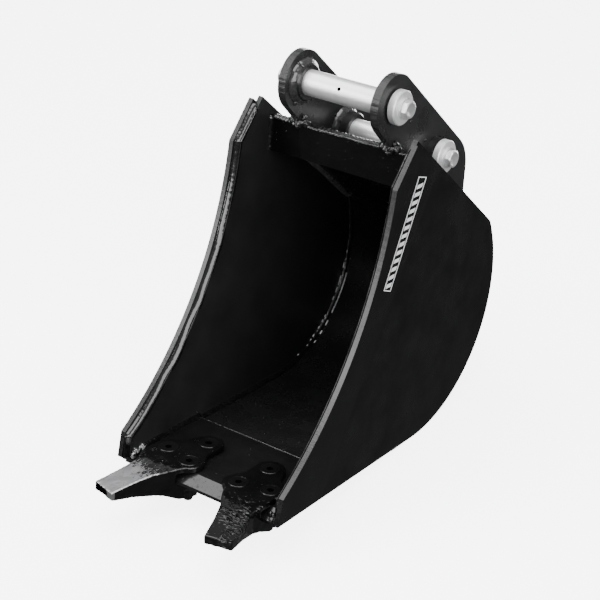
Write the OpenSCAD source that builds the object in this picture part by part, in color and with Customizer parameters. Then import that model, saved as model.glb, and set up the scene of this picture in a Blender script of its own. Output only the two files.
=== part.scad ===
// Backhoe bucket with two bolt-on teeth and two hinge pins.
// Millimetres. Origin at the centre of the dipper pin: X to the right seen from the front,
// Y towards the rear, Z up, the floor of the bucket level.

/* [Shell] */
// width over the two side cutters
overall_width = 230; // [180:1:400]
// thickness of the side plates
side_thickness = 6; // [4:0.5:12]
// thickness of the rolled sheet
sheet_thickness = 8; // [5:0.5:14]
// outside radius of the heel
heel_radius = 160; // [130:1:220]
// heel centre behind the dipper pin
heel_offset = 32; // [10:1:60]
// height of the top sheet over the heel centre, as a share of the heel radius
top_height_share = 0.873; // [0.7:0.001:0.92]
// slope of the top sheet below level, in degrees
top_slope = 38.6; // [30:0.1:46]
// outside radius of the bend between heel and top sheet
bend_radius = 16; // [14:0.5:24]
// side plate edge over the top sheet
edge_rise = 8.7; // [4:0.1:12]
// inward taper of each side towards the rear, in degrees
side_taper = 0.6; // [0:0.1:2]

/* [Mouth] */
// lip nose ahead of the dipper pin
lip_reach = 236.5; // [190:0.5:290]
// length of the lip from nose to seam
lip_length = 122; // [100:1:150]
// thickness of the lip
lip_thickness = 12; // [8:0.5:20]
// length of the lip bevel
bevel_length = 16; // [6:0.5:24]
// height of the blunt lip nose as a share of the lip thickness
nose_height_share = 0.33; // [0.2:0.01:0.6]
// cutter bar thickness
cutter_thickness = 6; // [4:0.5:12]
// top of the cutter below the side plate edge
cutter_drop = 7.4; // [3:0.1:12]
// cutter front corner ahead of the dipper pin, along the top slope
cutter_lead = 2; // [0:0.5:12]
// length of the straight head of the cutter
cutter_head = 55; // [40:1:75]
// angle of the cutter head below level, in degrees
cutter_head_angle = 51; // [44:0.5:58]
// bow of the mouth edge as a share of its chord
mouth_bow_share = 0.103; // [0.05:0.001:0.13]
// width of the cutter at its top
cutter_top_width = 64; // [50:1:80]
// width of the cutter at its foot
cutter_foot_width = 80; // [64:1:100]
// height of the lower kink over the floor
cutter_kink_height = 38; // [28:0.5:60]
// foot of the cutter over the floor's underside
cutter_foot_height = 8; // [4:0.5:12]
// cutter foot ahead of the lip nose
cutter_foot_lead = 7; // [3:0.5:12]
// lower kink ahead of the lip nose
cutter_kink_lead = 1.5; // [0:0.5:2.9]
// cutter front ahead of the side plate's front edge
cutter_overhang = 7; // [4:0.5:10]
// depth of the top beam along Y
beam_thickness = 12; // [6:0.5:16]
// height of the top beam's front face
beam_height = 43.5; // [30:0.5:60]
// front face of the beam behind the dipper pin
beam_offset = 2.5; // [2:0.5:12]

/* [Ears] */
// clear gap between the two ears
ear_gap = 115; // [104:1:140]
// thickness of each ear
ear_thickness = 10; // [8:0.5:14]
// radius of the ear round the dipper pin
ear_radius = 36; // [34:0.5:42]
// radius of the rear end of the ear
ear_tail_radius = 50; // [42:1:60]
// ear tail centre behind the dipper pin, along the back of the ear
ear_tail_reach = 164; // [138:1:168]
// angle between the back of the ear and the top sheet, in degrees
ear_back_angle = 0.9; // [0:0.1:2]
// dipper pin centre over the top sheet
pin_standoff = 38.4; // [36:0.2:46]
// distance between the two pins
pin_spacing = 118.4; // [100:0.2:140]
// ear foot ahead of the dipper pin
ear_foot_lead = 2.5; // [0:0.5:5]
// slope of the line through the pins below level, in degrees
pin_line_slope = 41.3; // [38:0.1:43]
// radius of the small holes in the ears
plug_hole_radius = 2.4; // [2:0.1:4]

/* [Pins] */
// radius of both pins
pin_radius = 15; // [12:0.5:16]
// running clearance between a pin and its bosses, on the radius
running_clearance = 0.06; // [0.02:0.01:0.1]
// boss wall round the pin
boss_wall = 7; // [4:0.5:8]
// dipper boss standing in from the ear
dipper_boss_inner = 8; // [4:0.5:12]
// link boss standing in from the ear
link_boss_inner = 16.5; // [8:0.5:22]
// dipper boss standing out from the ear
dipper_boss_outer = 0.4; // [0.2:0.1:2]
// link boss standing out from the ear
link_boss_outer = 8; // [4:0.5:12]
// gap between dipper boss and cap, filled by the seal ring
dipper_seal_width = 1.6; // [1.2:0.1:3]
// gap between link boss and cap, filled by the seal ring
link_seal_width = 2.8; // [1.2:0.1:3.5]
// play on each side of the seal ring
seal_play = 0.3; // [0.2:0.05:0.4]
// cap radius beyond the pin
cap_overhang = 5; // [3:0.5:7]
// cap thickness
cap_thickness = 8.4; // [6:0.2:12]
// grease hole radius
grease_radius = 2.2; // [1:0.1:3]
// direction of the grease hole above the forward level, in degrees
grease_angle = 26; // [0:1:60]

/* [Teeth] */
// rear tooth bolt from the middle of the bucket
tooth_spread = 44.2; // [40:0.2:50]
// rear tooth bolt behind the lip nose
tooth_bolt_setback = 70.3; // [64:0.1:84]
// outward turn of each tooth, in degrees
tooth_toe = 13.5; // [8:0.5:16]
// front bolts ahead of the rear bolt
tooth_bolt_pitch = 43; // [38:0.5:46]
// front bolts to each side of the tooth's middle
tooth_bolt_half_gauge = 19.5; // [17:0.5:23]
// thickness of the upper jaw on the lip
jaw_thickness = 7; // [6:0.2:9]
// radius of the lobe round each bolt
lobe_radius = 18; // [15:0.5:19.5]
// tooth tip ahead of the rear bolt
tooth_length = 144; // [125:1:180]
// half width of the tooth tip
tip_half_width = 16.4; // [12:0.2:20]
// thickness of the tip's front face
tip_thickness = 10.4; // [7:0.2:14]
// height of the top of the tip over the floor's underside
tip_height = 7.2; // [2:0.2:9]
// outward shift of the tip
tip_shift = 3.3; // [0:0.1:6]
// thickness of the lower jaw that carries the nuts
lower_jaw_thickness = 10; // [7:0.5:13]
// depth of the tooth's heel below the lip
tooth_heel_depth = 21; // [14:0.5:24]
// play between the lip nose and the bottom of the tooth's slot
slot_play = 0.6; // [0.3:0.1:1.2]
// play between a nut's washer and the tooth's heel
washer_play = 1.5; // [0.5:0.1:2.5]

/* [Fasteners] */
// thread radius of all bolts, M12
thread_radius = 6; // [5:0.5:7]
// clearance between a thread and its nut or tapped hole
thread_play = 0.1; // [0.05:0.01:0.2]
// clearance of a bolt in a plain hole
hole_play = 0.5; // [0.3:0.05:0.8]
// width across flats of nuts and bolt heads
hex_width = 19; // [17:0.5:22]
// height of a bolt head
head_height = 7.5; // [6:0.1:9]
// height of a nut
nut_height = 10.8; // [9:0.1:12]
// radius of the washers
washer_radius = 12; // [11:0.5:13]
// thickness of the washers
washer_thickness = 2.5; // [2:0.1:3]
// bolt end beyond its nut
bolt_tail = 7; // [2:0.5:9]
// radius of a countersunk head
countersunk_radius = 12; // [10.5:0.5:13]
// width across flats of the socket in a countersunk head
socket_width = 8; // [6:0.5:8.5]
// depth of the socket
socket_depth = 4.5; // [3:0.1:6]
// reach of a cap bolt into its pin
cap_bolt_reach = 22; // [16:1:30]

/* [Welds] */
// leg of the structural fillet welds
weld_leg = 5; // [3:0.5:7]
// leg of the weld round each boss
boss_weld_leg = 5.5; // [3:0.5:7]
// small gap that keeps a fitted boss or weld apart from its neighbour
fit_gap = 0.05; // [0.02:0.01:0.1]

/* [Hidden] */
$fn = 96;
half_width = overall_width / 2;
side_outer = half_width - cutter_thickness;
side_inner = side_outer - side_thickness;
ear_inner = ear_gap / 2;
ear_outer = ear_inner + ear_thickness;
far = 4 * overall_width;

// directions in the YZ plane: along the top sheet to the rear, and square to it
slope_dir = [cos(top_slope), -sin(top_slope)];
slope_up = [sin(top_slope), cos(top_slope)];
function on_slope(along, up) = along * slope_dir + up * slope_up;
function along_slope(p) = p * slope_dir;
function unit(v) = v / norm(v);
function middle(a, b) = (a + b) / 2;
function turned(v) = [v[1], -v[0]];

// heel and floor
sheet_level = -pin_standoff;
edge_level = sheet_level + edge_rise;
top_height = heel_radius * top_height_share;
heel_z = (sheet_level - top_height - slope_up[0] * heel_offset) / slope_up[1];
heel = [heel_offset, heel_z];
floor_z = heel_z - heel_radius;
bend_rise = top_height - bend_radius;
bend_run = sqrt(pow(heel_radius - bend_radius, 2) - pow(bend_rise, 2));
bend = heel + bend_rise * slope_up + bend_run * slope_dir;
bend_dir = unit(bend - heel);
bend_ray = heel + far * bend_dir;
edge_run = sqrt(pow(heel_radius, 2) - pow(top_height + edge_rise, 2));
side_join = heel + (top_height + edge_rise) * slope_up + edge_run / 2 * slope_dir;

// mouth edge, from the top of the cutter to its foot
nose_y = -lip_reach;
lip_rear = nose_y + lip_length;
lip_top = floor_z + lip_thickness;
head_dir = [-cos(cutter_head_angle), -sin(cutter_head_angle)];
cutter_top = on_slope(-cutter_lead, edge_level - cutter_drop);
cutter_kink = cutter_top + cutter_head * head_dir;
cutter_low = [nose_y - cutter_kink_lead, floor_z + cutter_kink_height];
cutter_foot = [nose_y - cutter_foot_lead, floor_z + cutter_foot_height];
chord = norm(cutter_low - cutter_kink);
chord_dir = unit(cutter_low - cutter_kink);
bow = chord * mouth_bow_share;
mouth_radius = (chord * chord / 4 + bow * bow) / (2 * bow);
mouth_centre = middle(cutter_kink, cutter_low) + (mouth_radius - bow) * turned(chord_dir);
cutter_rear_top = cutter_top + cutter_top_width * slope_dir;
cutter_rear_foot = cutter_foot + [cutter_foot_width, 0];

// front edge of the side plate, set back behind the cutter's
side_kink = mouth_centre + (mouth_radius + cutter_overhang) * unit(cutter_kink - mouth_centre);
side_low = mouth_centre + (mouth_radius + cutter_overhang) * unit(cutter_low - mouth_centre);
head_set = cutter_top - cutter_overhang * turned(head_dir);
head_climb = (edge_level - head_set * slope_up) / (-head_dir * slope_up);
side_top = head_set - head_climb * head_dir;
side_foot = [cutter_foot[0] + cutter_overhang, floor_z];

// beam and top sheet
beam_rear = beam_offset + beam_thickness;
function sheet_z(y, level) = (level - slope_up[0] * y) / slope_up[1];
beam_low = sheet_z(beam_offset, sheet_level) - beam_height;

// ears
back_dir = [cos(top_slope + ear_back_angle), -sin(top_slope + ear_back_angle)];
back_up = [sin(top_slope + ear_back_angle), cos(top_slope + ear_back_angle)];
tail = ear_tail_reach * back_dir + (ear_radius - ear_tail_radius) * back_up;
ear_rear = tail[0] + ear_tail_radius;
round_margin = 0.05;
ear_front_foot = [-ear_foot_lead, sheet_z(-ear_foot_lead, sheet_level)];
foot_angle = atan2(ear_front_foot[1], ear_front_foot[0]);
foot_swing = acos(ear_radius / norm(ear_front_foot));
ear_front = ear_radius * [cos(foot_angle - foot_swing), sin(foot_angle - foot_swing)];
pin_dir = [cos(pin_line_slope), -sin(pin_line_slope)];
link_pin_at = pin_spacing * pin_dir;
first_plug_share = 0.37;
second_plug_share = 0.76;
plug_rise = 3;
first_plug = first_plug_share * link_pin_at + plug_rise * [pin_dir[1] * -1, pin_dir[0]];
second_plug = second_plug_share * link_pin_at + plug_rise * [pin_dir[1] * -1, pin_dir[0]];

// pins
boss_radius = pin_radius + boss_wall;
boss_bore = pin_radius + running_clearance;
boss_chamfer = boss_wall / 4;
cap_radius = pin_radius + cap_overhang;
cap_chamfer = cap_thickness / 7;
dipper_cap_x = ear_outer + dipper_boss_outer + dipper_seal_width;
link_cap_x = ear_outer + link_boss_outer + link_seal_width;
pin_chamfer = pin_radius / 12;
seal_outer = cap_radius - cap_chamfer - seal_play;
tapped_depth = cap_bolt_reach + bolt_tail;
grease_depth = pin_radius * 0.6;

// teeth
hex_radius = hex_width / 2 / cos(30);
socket_radius = socket_width / 2 / cos(30);
tooth_at = [tooth_spread, nose_y + tooth_bolt_setback];
tooth_top = lip_top + jaw_thickness;
root_half_width = tooth_bolt_half_gauge + lobe_radius;
tooth_rear = -2 * lobe_radius;
jaw_low = floor_z - lower_jaw_thickness;
heel_low = floor_z - tooth_heel_depth;
heel_start = tooth_bolt_pitch + washer_radius + washer_play;
tip_top = floor_z + tip_height;
tip_low = tip_top - tip_thickness;
brow_start = tooth_bolt_pitch + lobe_radius * 0.9;
brow_run = tooth_length - brow_start;
brow_drop = tooth_top - tip_top;
head_cone = countersunk_radius - thread_radius;
nut_top = jaw_low - washer_thickness;
nut_low = nut_top - nut_height;
bolt_low = nut_low - bolt_tail;
tooth_bolt_spots = [
    [0, 0],
    [tooth_bolt_pitch, tooth_bolt_half_gauge],
    [tooth_bolt_pitch, -tooth_bolt_half_gauge]
];

// extrudes outlines drawn in the YZ plane from x to x + depth, each on its own
module along_x(x, depth) {
    translate([x, 0, 0])
        rotate([90, 0, 90])
            for (i = [0:$children - 1]) {
                linear_extrude(depth) children(i);
            }
}

// a cylinder along X from x to x + depth, centred on p in the YZ plane
module rod_x(x, depth, r, p) {
    translate([x, p[0], p[1]])
        rotate([0, 90, 0])
            cylinder(h = depth, r = r);
}

// a cone along X
module cone_x(x, depth, r1, r2, p) {
    translate([x, p[0], p[1]])
        rotate([0, 90, 0])
            cylinder(h = depth, r1 = r1, r2 = r2);
}

// turns one side of the bucket in about the line of the mouth
module tapered(side) {
    lean = atan2(cutter_top[0] - cutter_foot[0], cutter_top[1] - cutter_foot[1]);
    translate([side * half_width, cutter_top[0], cutter_top[1]])
        rotate([-lean, 0, 0])
            rotate([0, 0, side * side_taper])
                rotate([lean, 0, 0])
                    translate([-side * half_width, -cutter_top[0], -cutter_top[1]])
                        children();
}

// keeps what lies between the inner faces of the side plates
module between_sides() {
    difference() {
        children();
        tapered(1)
            translate([side_inner, -far, -far])
                cube([far, 2 * far, 2 * far]);
        tapered(-1)
            translate([-side_inner - far, -far, -far])
                cube([far, 2 * far, 2 * far]);
    }
}

module on_both_sides() {
    children();
    mirror([1, 0, 0]) children();
}

// body of a side plate in the YZ plane
module side_body() {
    polygon([
        side_top, side_join, heel, [heel[0], floor_z], side_foot, side_low, side_kink
    ]);
}

// round rear end of a side plate
module side_heel() {
    intersection() {
        translate(heel) circle(r = heel_radius);
        polygon([
            side_join, side_join + far * slope_dir, [far, floor_z - far],
            [heel[0], floor_z - far], heel
        ]);
    }
}

// outline of a side cutter in the YZ plane
module cutter_outline() {
    difference() {
        polygon([
            cutter_top, cutter_rear_top, cutter_rear_foot, cutter_foot,
            cutter_low, cutter_kink
        ]);
        translate(mouth_centre) circle(r = mouth_radius);
    }
}

module side_plate(side) {
    start = side > 0 ? side_inner : -side_outer;
    tapered(side)
        difference() {
            along_x(start, side_thickness) {
                side_body();
                side_heel();
            }
            rod_x(start - side_thickness, 3 * side_thickness,
                mouth_radius + cutter_overhang, mouth_centre);
        }
}

module side_cutter(side) {
    tapered(side)
        along_x(side > 0 ? side_outer : -half_width, cutter_thickness) cutter_outline();
}

module left_side_plate() {
    color([0.03, 0.03, 0.035]) side_plate(-1);
}

module right_side_plate() {
    color([0.03, 0.03, 0.035]) side_plate(1);
}

module left_side_cutter() {
    color([0.05, 0.05, 0.055]) side_cutter(-1);
}

module right_side_cutter() {
    color([0.05, 0.05, 0.055]) side_cutter(1);
}

// round part of the sheet, cut to the region given by points
module sheet_round(centre, radius, points) {
    intersection() {
        translate(centre)
            difference() {
                circle(r = radius);
                circle(r = radius - sheet_thickness);
            }
        polygon(points);
    }
}

module sheet_floor() {
    translate([lip_rear, floor_z])
        square([heel[0] - lip_rear, sheet_thickness]);
}

module sheet_top() {
    polygon([
        bend + bend_radius * slope_up,
        bend + (bend_radius - sheet_thickness) * slope_up,
        [beam_rear, sheet_z(beam_rear, sheet_level - sheet_thickness)],
        [beam_rear, sheet_z(beam_rear, sheet_level)]
    ]);
}

module rolled_sheet() {
    color([0.03, 0.03, 0.035])
        between_sides()
            along_x(-half_width, overall_width) {
                sheet_floor();
                sheet_round(heel, heel_radius, [
                    heel, bend, bend_ray, heel + [far, -far], heel + [0, -far]
                ]);
                sheet_round(bend, bend_radius, [
                    bend, bend_ray, bend_ray + far * slope_up, bend + far * slope_up
                ]);
                sheet_top();
            }
}

// places something on one tooth, forward along +X and outward along +Y of the child
module on_tooth(side) {
    mirror([side > 0 ? 0 : 1, 0, 0])
        translate([tooth_at[0], tooth_at[1], 0])
            rotate([0, 0, tooth_toe - 90])
                children();
}

module tooth_bolt_holes(radius) {
    for (side = [-1, 1]) {
        on_tooth(side)
            for (spot = tooth_bolt_spots) {
                translate([spot[0], spot[1], floor_z - lip_thickness])
                    cylinder(h = 3 * lip_thickness, r = radius);
            }
    }
}

module lip() {
    color([0.04, 0.04, 0.045])
        difference() {
            between_sides()
                along_x(-half_width, overall_width)
                    polygon([
                        [nose_y, floor_z],
                        [lip_rear, floor_z],
                        [lip_rear, lip_top],
                        [nose_y + bevel_length, lip_top],
                        [nose_y, floor_z + nose_height_share * lip_thickness]
                    ]);
            tooth_bolt_holes(thread_radius + hole_play);
        }
}

module top_beam() {
    color([0.03, 0.03, 0.035])
        between_sides()
            along_x(-half_width, overall_width)
                polygon([
                    [beam_offset, beam_low],
                    [beam_rear, beam_low],
                    [beam_rear, sheet_z(beam_rear, sheet_level)],
                    [beam_offset, sheet_z(beam_offset, sheet_level)]
                ]);
}

// body of an ear in the YZ plane, run down past the top sheet
module ear_body() {
    foot_low = ear_front_foot + (ear_front_foot - ear_front);
    polygon([
        [0, 0],
        ear_radius * back_up,
        tail + ear_tail_radius * back_up,
        tail,
        tail + [ear_tail_radius, 0],
        [ear_rear, sheet_z(ear_rear, sheet_level) - ear_radius],
        foot_low,
        ear_front
    ]);
}

// space under the top sheet's upper face
module below_sheet() {
    polygon([
        on_slope(-far, sheet_level), on_slope(far, sheet_level),
        on_slope(far, sheet_level - far), on_slope(-far, sheet_level - far)
    ]);
}

module ear(start) {
    difference() {
        along_x(start, ear_thickness) {
            ear_body();
            circle(r = ear_radius + round_margin);
            translate(tail) circle(r = ear_tail_radius + round_margin);
        }
        along_x(start - ear_thickness, 3 * ear_thickness) below_sheet();
        for (p = [[0, 0], link_pin_at]) {
            rod_x(start - ear_thickness, 3 * ear_thickness, boss_radius + fit_gap, p);
        }
        for (p = [first_plug, second_plug]) {
            rod_x(start - ear_thickness, 3 * ear_thickness, plug_hole_radius, p);
        }
    }
}

module left_ear() {
    color([0.03, 0.03, 0.035]) ear(-ear_outer);
}

module right_ear() {
    color([0.03, 0.03, 0.035]) ear(ear_inner);
}

// a right-hand boss: a tube with its inner end chamfered, its outer end as wide as rim
module boss(inner, outer, rim, p) {
    start = ear_inner - inner;
    length = inner + ear_thickness + outer;
    difference() {
        union() {
            cone_x(start, boss_chamfer, boss_radius - boss_chamfer, boss_radius, p);
            rod_x(start + boss_chamfer, ear_outer - start - boss_chamfer, boss_radius, p);
            rod_x(start + boss_chamfer, length - boss_chamfer, rim, p);
        }
        rod_x(start - boss_chamfer, length + 2 * boss_chamfer, boss_bore, p);
    }
}

module left_dipper_boss() {
    color([0.05, 0.05, 0.055])
        mirror([1, 0, 0]) boss(dipper_boss_inner, dipper_boss_outer, cap_radius, [0, 0]);
}

module right_dipper_boss() {
    color([0.05, 0.05, 0.055])
        boss(dipper_boss_inner, dipper_boss_outer, cap_radius, [0, 0]);
}

module left_link_boss() {
    color([0.05, 0.05, 0.055])
        mirror([1, 0, 0]) boss(link_boss_inner, link_boss_outer, cap_radius, link_pin_at);
}

module right_link_boss() {
    color([0.05, 0.05, 0.055])
        boss(link_boss_inner, link_boss_outer, cap_radius, link_pin_at);
}

// fillet weld in the corner between the cutter and the front edge of the side plate
module cutter_weld(side) {
    corner = side_outer - fit_gap;
    ring = mouth_radius + cutter_overhang - fit_gap;
    kink_dir = unit(side_kink - mouth_centre);
    low_dir = unit(side_low - mouth_centre);
    tapered(side)
        mirror([side > 0 ? 0 : 1, 0, 0])
            intersection() {
                translate([0, mouth_centre[0], mouth_centre[1]])
                    rotate([0, 90, 0])
                        rotate_extrude()
                            polygon([
                                [ring, corner], [ring - weld_leg, corner],
                                [ring, corner - weld_leg]
                            ]);
                along_x(0, half_width)
                    polygon([
                        mouth_centre, mouth_centre + far * kink_dir,
                        mouth_centre + far * low_dir
                    ]);
            }
}

module left_cutter_weld() {
    color([0.12, 0.12, 0.125]) cutter_weld(-1);
}

module right_cutter_weld() {
    color([0.12, 0.12, 0.125]) cutter_weld(1);
}

// one fillet along an ear's foot, on the side of the ear given by face and out
module foot_weld(face, out) {
    start = [beam_rear, sheet_z(beam_rear, sheet_level)];
    run = ear_rear - weld_leg - start[0];
    reach = run / slope_dir[0];
    translate([face + out * fit_gap, start[0], start[1]])
        rotate([-top_slope, 0, 0])
            translate([0, 0, fit_gap])
                rotate([-90, 0, 0])
                    linear_extrude(reach)
                        polygon([
                            [0, 0], [out * weld_leg, 0], [0, -weld_leg]
                        ]);
}

module ear_welds() {
    color([0.12, 0.12, 0.125])
        on_both_sides() {
            foot_weld(ear_inner, -1);
            foot_weld(ear_outer, 1);
        }
}

// cone of weld round a boss on the inner face of the ear
module boss_weld(p) {
    hole = boss_radius + fit_gap;
    difference() {
        cone_x(ear_inner - fit_gap - boss_weld_leg, boss_weld_leg,
            hole, hole + boss_weld_leg, p);
        rod_x(ear_inner - 2 * boss_weld_leg, 3 * boss_weld_leg, hole, p);
    }
}

module boss_welds() {
    color([0.12, 0.12, 0.125])
        on_both_sides() {
            boss_weld([0, 0]);
            boss_weld(link_pin_at);
        }
}

// welds at the two ends of the beam, in the corner in front of it
module beam_welds() {
    top_z = sheet_z(beam_offset, sheet_level);
    color([0.12, 0.12, 0.125])
        between_sides()
            on_both_sides()
                translate([side_outer, beam_offset - fit_gap, beam_low])
                    linear_extrude(top_z - beam_low - weld_leg)
                        polygon([
                            [0, 0],
                            [-side_thickness - weld_leg, 0],
                            [0, -side_thickness - weld_leg]
                        ]);
}

// welds in the corners between the side plates and the inside of the heel
module heel_weld(side) {
    corner = side_inner - fit_gap;
    ring = heel_radius - sheet_thickness;
    difference() {
        tapered(side)
            mirror([side > 0 ? 0 : 1, 0, 0])
                intersection() {
                    translate([0, heel[0], heel[1]])
                        rotate([0, 90, 0])
                            rotate_extrude()
                                polygon([
                                    [ring - weld_leg, corner],
                                    [ring + weld_leg, corner],
                                    [ring + weld_leg, corner - 2 * weld_leg]
                                ]);
                    along_x(0, half_width)
                        polygon([heel, heel + [0, -far], heel + [far, -far], bend_ray]);
                }
        translate([-half_width, 0, 0])
            rotate([90, 0, 90])
                linear_extrude(overall_width)
                    difference() {
                        translate(heel) circle(r = heel_radius + 2 * weld_leg);
                        translate(heel) circle(r = ring - fit_gap);
                    }
    }
}

module left_heel_weld() {
    color([0.12, 0.12, 0.125]) heel_weld(-1);
}

module right_heel_weld() {
    color([0.12, 0.12, 0.125]) heel_weld(1);
}

// bead over the step between lip and floor
module floor_seam_weld() {
    step = lip_thickness - sheet_thickness;
    base = floor_z + sheet_thickness + fit_gap;
    color([0.12, 0.12, 0.125])
        between_sides()
            along_x(-side_inner, 2 * side_inner)
                polygon([
                    [lip_rear + fit_gap, base],
                    [lip_rear + fit_gap + weld_leg, base],
                    [lip_rear + fit_gap, base + step * 0.8]
                ]);
}

// plan of a tooth: three lobes and a tapering neck, forward along X, outward along Y
module tooth_plan() {
    shoulder = tooth_bolt_pitch + lobe_radius * 0.75;
    for (spot = tooth_bolt_spots) {
        translate(spot) circle(r = lobe_radius);
    }
    polygon([
        [0, -lobe_radius * 0.98],
        [tooth_bolt_pitch * 0.42, -tooth_bolt_half_gauge * 1.12],
        [tooth_bolt_pitch * 0.72, -root_half_width * 0.88],
        [tooth_bolt_pitch, -root_half_width * 0.999],
        [shoulder, -tooth_bolt_half_gauge - lobe_radius * 0.62],
        [brow_start + brow_run * 0.24, tip_shift * 0.2 - tip_half_width * 1.48],
        [brow_start + brow_run * 0.37, tip_shift * 0.4 - tip_half_width * 1.26],
        [brow_start + brow_run * 0.62, tip_shift * 0.7 - tip_half_width * 1.1],
        [tooth_length, tip_shift - tip_half_width],
        [tooth_length, tip_shift + tip_half_width],
        [brow_start + brow_run * 0.62, tip_shift * 0.7 + tip_half_width * 1.04],
        [brow_start + brow_run * 0.37, tip_shift * 0.4 + tip_half_width * 1.18],
        [brow_start + brow_run * 0.24, tip_shift * 0.2 + tip_half_width * 1.48],
        [shoulder, tooth_bolt_half_gauge + lobe_radius * 0.62],
        [tooth_bolt_pitch, root_half_width * 0.999],
        [tooth_bolt_pitch * 0.72, root_half_width * 0.88],
        [tooth_bolt_pitch * 0.42, tooth_bolt_half_gauge * 1.12],
        [0, lobe_radius * 0.98]
    ]);
}

// side view of a tooth: X forward, Y up
module tooth_profile() {
    polygon([
        [tooth_rear, tooth_top],
        [brow_start, tooth_top],
        [brow_start + brow_run * 0.2, tooth_top - brow_drop * 0.12],
        [brow_start + brow_run * 0.4, tooth_top - brow_drop * 0.3],
        [brow_start + brow_run * 0.6, tooth_top - brow_drop * 0.52],
        [brow_start + brow_run * 0.8, tooth_top - brow_drop * 0.76],
        [tooth_length, tip_top],
        [tooth_length, tip_low],
        [tooth_length * 0.83, tip_low - tooth_heel_depth * 0.14],
        [tooth_length * 0.56, tip_low - tooth_heel_depth * 0.48],
        [heel_start + thread_radius, heel_low],
        [heel_start, heel_low],
        [heel_start, jaw_low],
        [tooth_rear, jaw_low]
    ]);
}

module tooth(side) {
    difference() {
        on_tooth(side)
            difference() {
                intersection() {
                    translate([0, 0, heel_low - lobe_radius])
                        linear_extrude(tooth_top - heel_low + 2 * lobe_radius)
                            tooth_plan();
                    translate([0, 2 * root_half_width, 0])
                        rotate([90, 0, 0])
                            linear_extrude(4 * root_half_width)
                                tooth_profile();
                }
                for (spot = tooth_bolt_spots) {
                    translate([spot[0], spot[1], heel_low])
                        cylinder(h = 2 * (tooth_top - heel_low), r = thread_radius + hole_play);
                    translate([spot[0], spot[1], tooth_top - head_cone])
                        cylinder(h = head_cone, r1 = thread_radius, r2 = countersunk_radius);
                }
            }
        translate([-half_width, nose_y - slot_play, floor_z])
            cube([overall_width, far, lip_thickness]);
    }
}

module left_tooth() {
    color([0.1, 0.1, 0.1]) tooth(-1);
}

module right_tooth() {
    color([0.1, 0.1, 0.1]) tooth(1);
}

module countersunk_bolt() {
    difference() {
        union() {
            translate([0, 0, tooth_top - head_cone])
                cylinder(h = head_cone, r1 = thread_radius, r2 = countersunk_radius);
            translate([0, 0, bolt_low])
                cylinder(h = tooth_top - head_cone - bolt_low, r = thread_radius);
        }
        translate([0, 0, tooth_top - socket_depth])
            cylinder(h = 2 * socket_depth, r = socket_radius, $fn = 6);
    }
}

module tooth_bolt_set(side) {
    on_tooth(side)
        for (spot = tooth_bolt_spots) {
            translate([spot[0], spot[1], 0]) countersunk_bolt();
        }
}

module left_tooth_bolts() {
    color([0.2, 0.2, 0.2]) tooth_bolt_set(-1);
}

module right_tooth_bolts() {
    color([0.2, 0.2, 0.2]) tooth_bolt_set(1);
}

module tooth_washers() {
    color([0.2, 0.2, 0.2])
        for (side = [-1, 1]) {
            on_tooth(side)
                for (spot = tooth_bolt_spots) {
                    translate([spot[0], spot[1], nut_top])
                        difference() {
                            cylinder(h = washer_thickness, r = washer_radius);
                            translate([0, 0, -washer_thickness])
                                cylinder(h = 3 * washer_thickness, r = thread_radius + hole_play);
                        }
                }
        }
}

module tooth_nuts() {
    color([0.2, 0.2, 0.2])
        for (side = [-1, 1]) {
            on_tooth(side)
                for (spot = tooth_bolt_spots) {
                    translate([spot[0], spot[1], nut_low])
                        difference() {
                            cylinder(h = nut_height, r = hex_radius, $fn = 6);
                            translate([0, 0, -nut_height])
                                cylinder(h = 3 * nut_height, r = thread_radius + thread_play);
                        }
                }
        }
}

// a pin with a chamfer and a tapped hole at each end
module plain_pin(end, p) {
    difference() {
        union() {
            rod_x(-end + pin_chamfer, 2 * (end - pin_chamfer), pin_radius, p);
            cone_x(end - pin_chamfer, pin_chamfer, pin_radius, pin_radius - pin_chamfer, p);
            cone_x(-end, pin_chamfer, pin_radius - pin_chamfer, pin_radius, p);
        }
        rod_x(end - tapped_depth, 2 * tapped_depth, thread_radius + thread_play, p);
        rod_x(-end - tapped_depth, 2 * tapped_depth, thread_radius + thread_play, p);
    }
}

module dipper_pin() {
    color([0.75, 0.75, 0.77])
        difference() {
            plain_pin(dipper_cap_x, [0, 0]);
            rotate([90 - grease_angle, 0, 0])
                translate([0, 0, pin_radius - grease_depth])
                    cylinder(h = 2 * grease_depth, r = grease_radius);
        }
}

module link_pin() {
    color([0.75, 0.75, 0.77]) plain_pin(link_cap_x, link_pin_at);
}

// a right-hand cap
module cap(x, p) {
    difference() {
        union() {
            rod_x(x, cap_thickness - cap_chamfer, cap_radius, p);
            cone_x(x + cap_thickness - cap_chamfer, cap_chamfer,
                cap_radius, cap_radius - cap_chamfer, p);
        }
        rod_x(x - cap_thickness, 3 * cap_thickness, thread_radius + hole_play, p);
    }
}

module left_dipper_cap() {
    color([0.75, 0.75, 0.77]) mirror([1, 0, 0]) cap(dipper_cap_x, [0, 0]);
}

module right_dipper_cap() {
    color([0.75, 0.75, 0.77]) cap(dipper_cap_x, [0, 0]);
}

module left_link_cap() {
    color([0.75, 0.75, 0.77]) mirror([1, 0, 0]) cap(link_cap_x, link_pin_at);
}

module right_link_cap() {
    color([0.75, 0.75, 0.77]) cap(link_cap_x, link_pin_at);
}

// a right-hand cap bolt: head outside the washer, shank into the pin
module cap_bolt(x, p) {
    seat = x + cap_thickness + washer_thickness;
    translate([seat, p[0], p[1]])
        rotate([0, 90, 0])
            cylinder(h = head_height, r = hex_radius, $fn = 6);
    rod_x(x - cap_bolt_reach, cap_bolt_reach + cap_thickness + washer_thickness,
        thread_radius, p);
}

module dipper_cap_bolts() {
    color([0.7, 0.7, 0.72])
        on_both_sides() cap_bolt(dipper_cap_x, [0, 0]);
}

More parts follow.
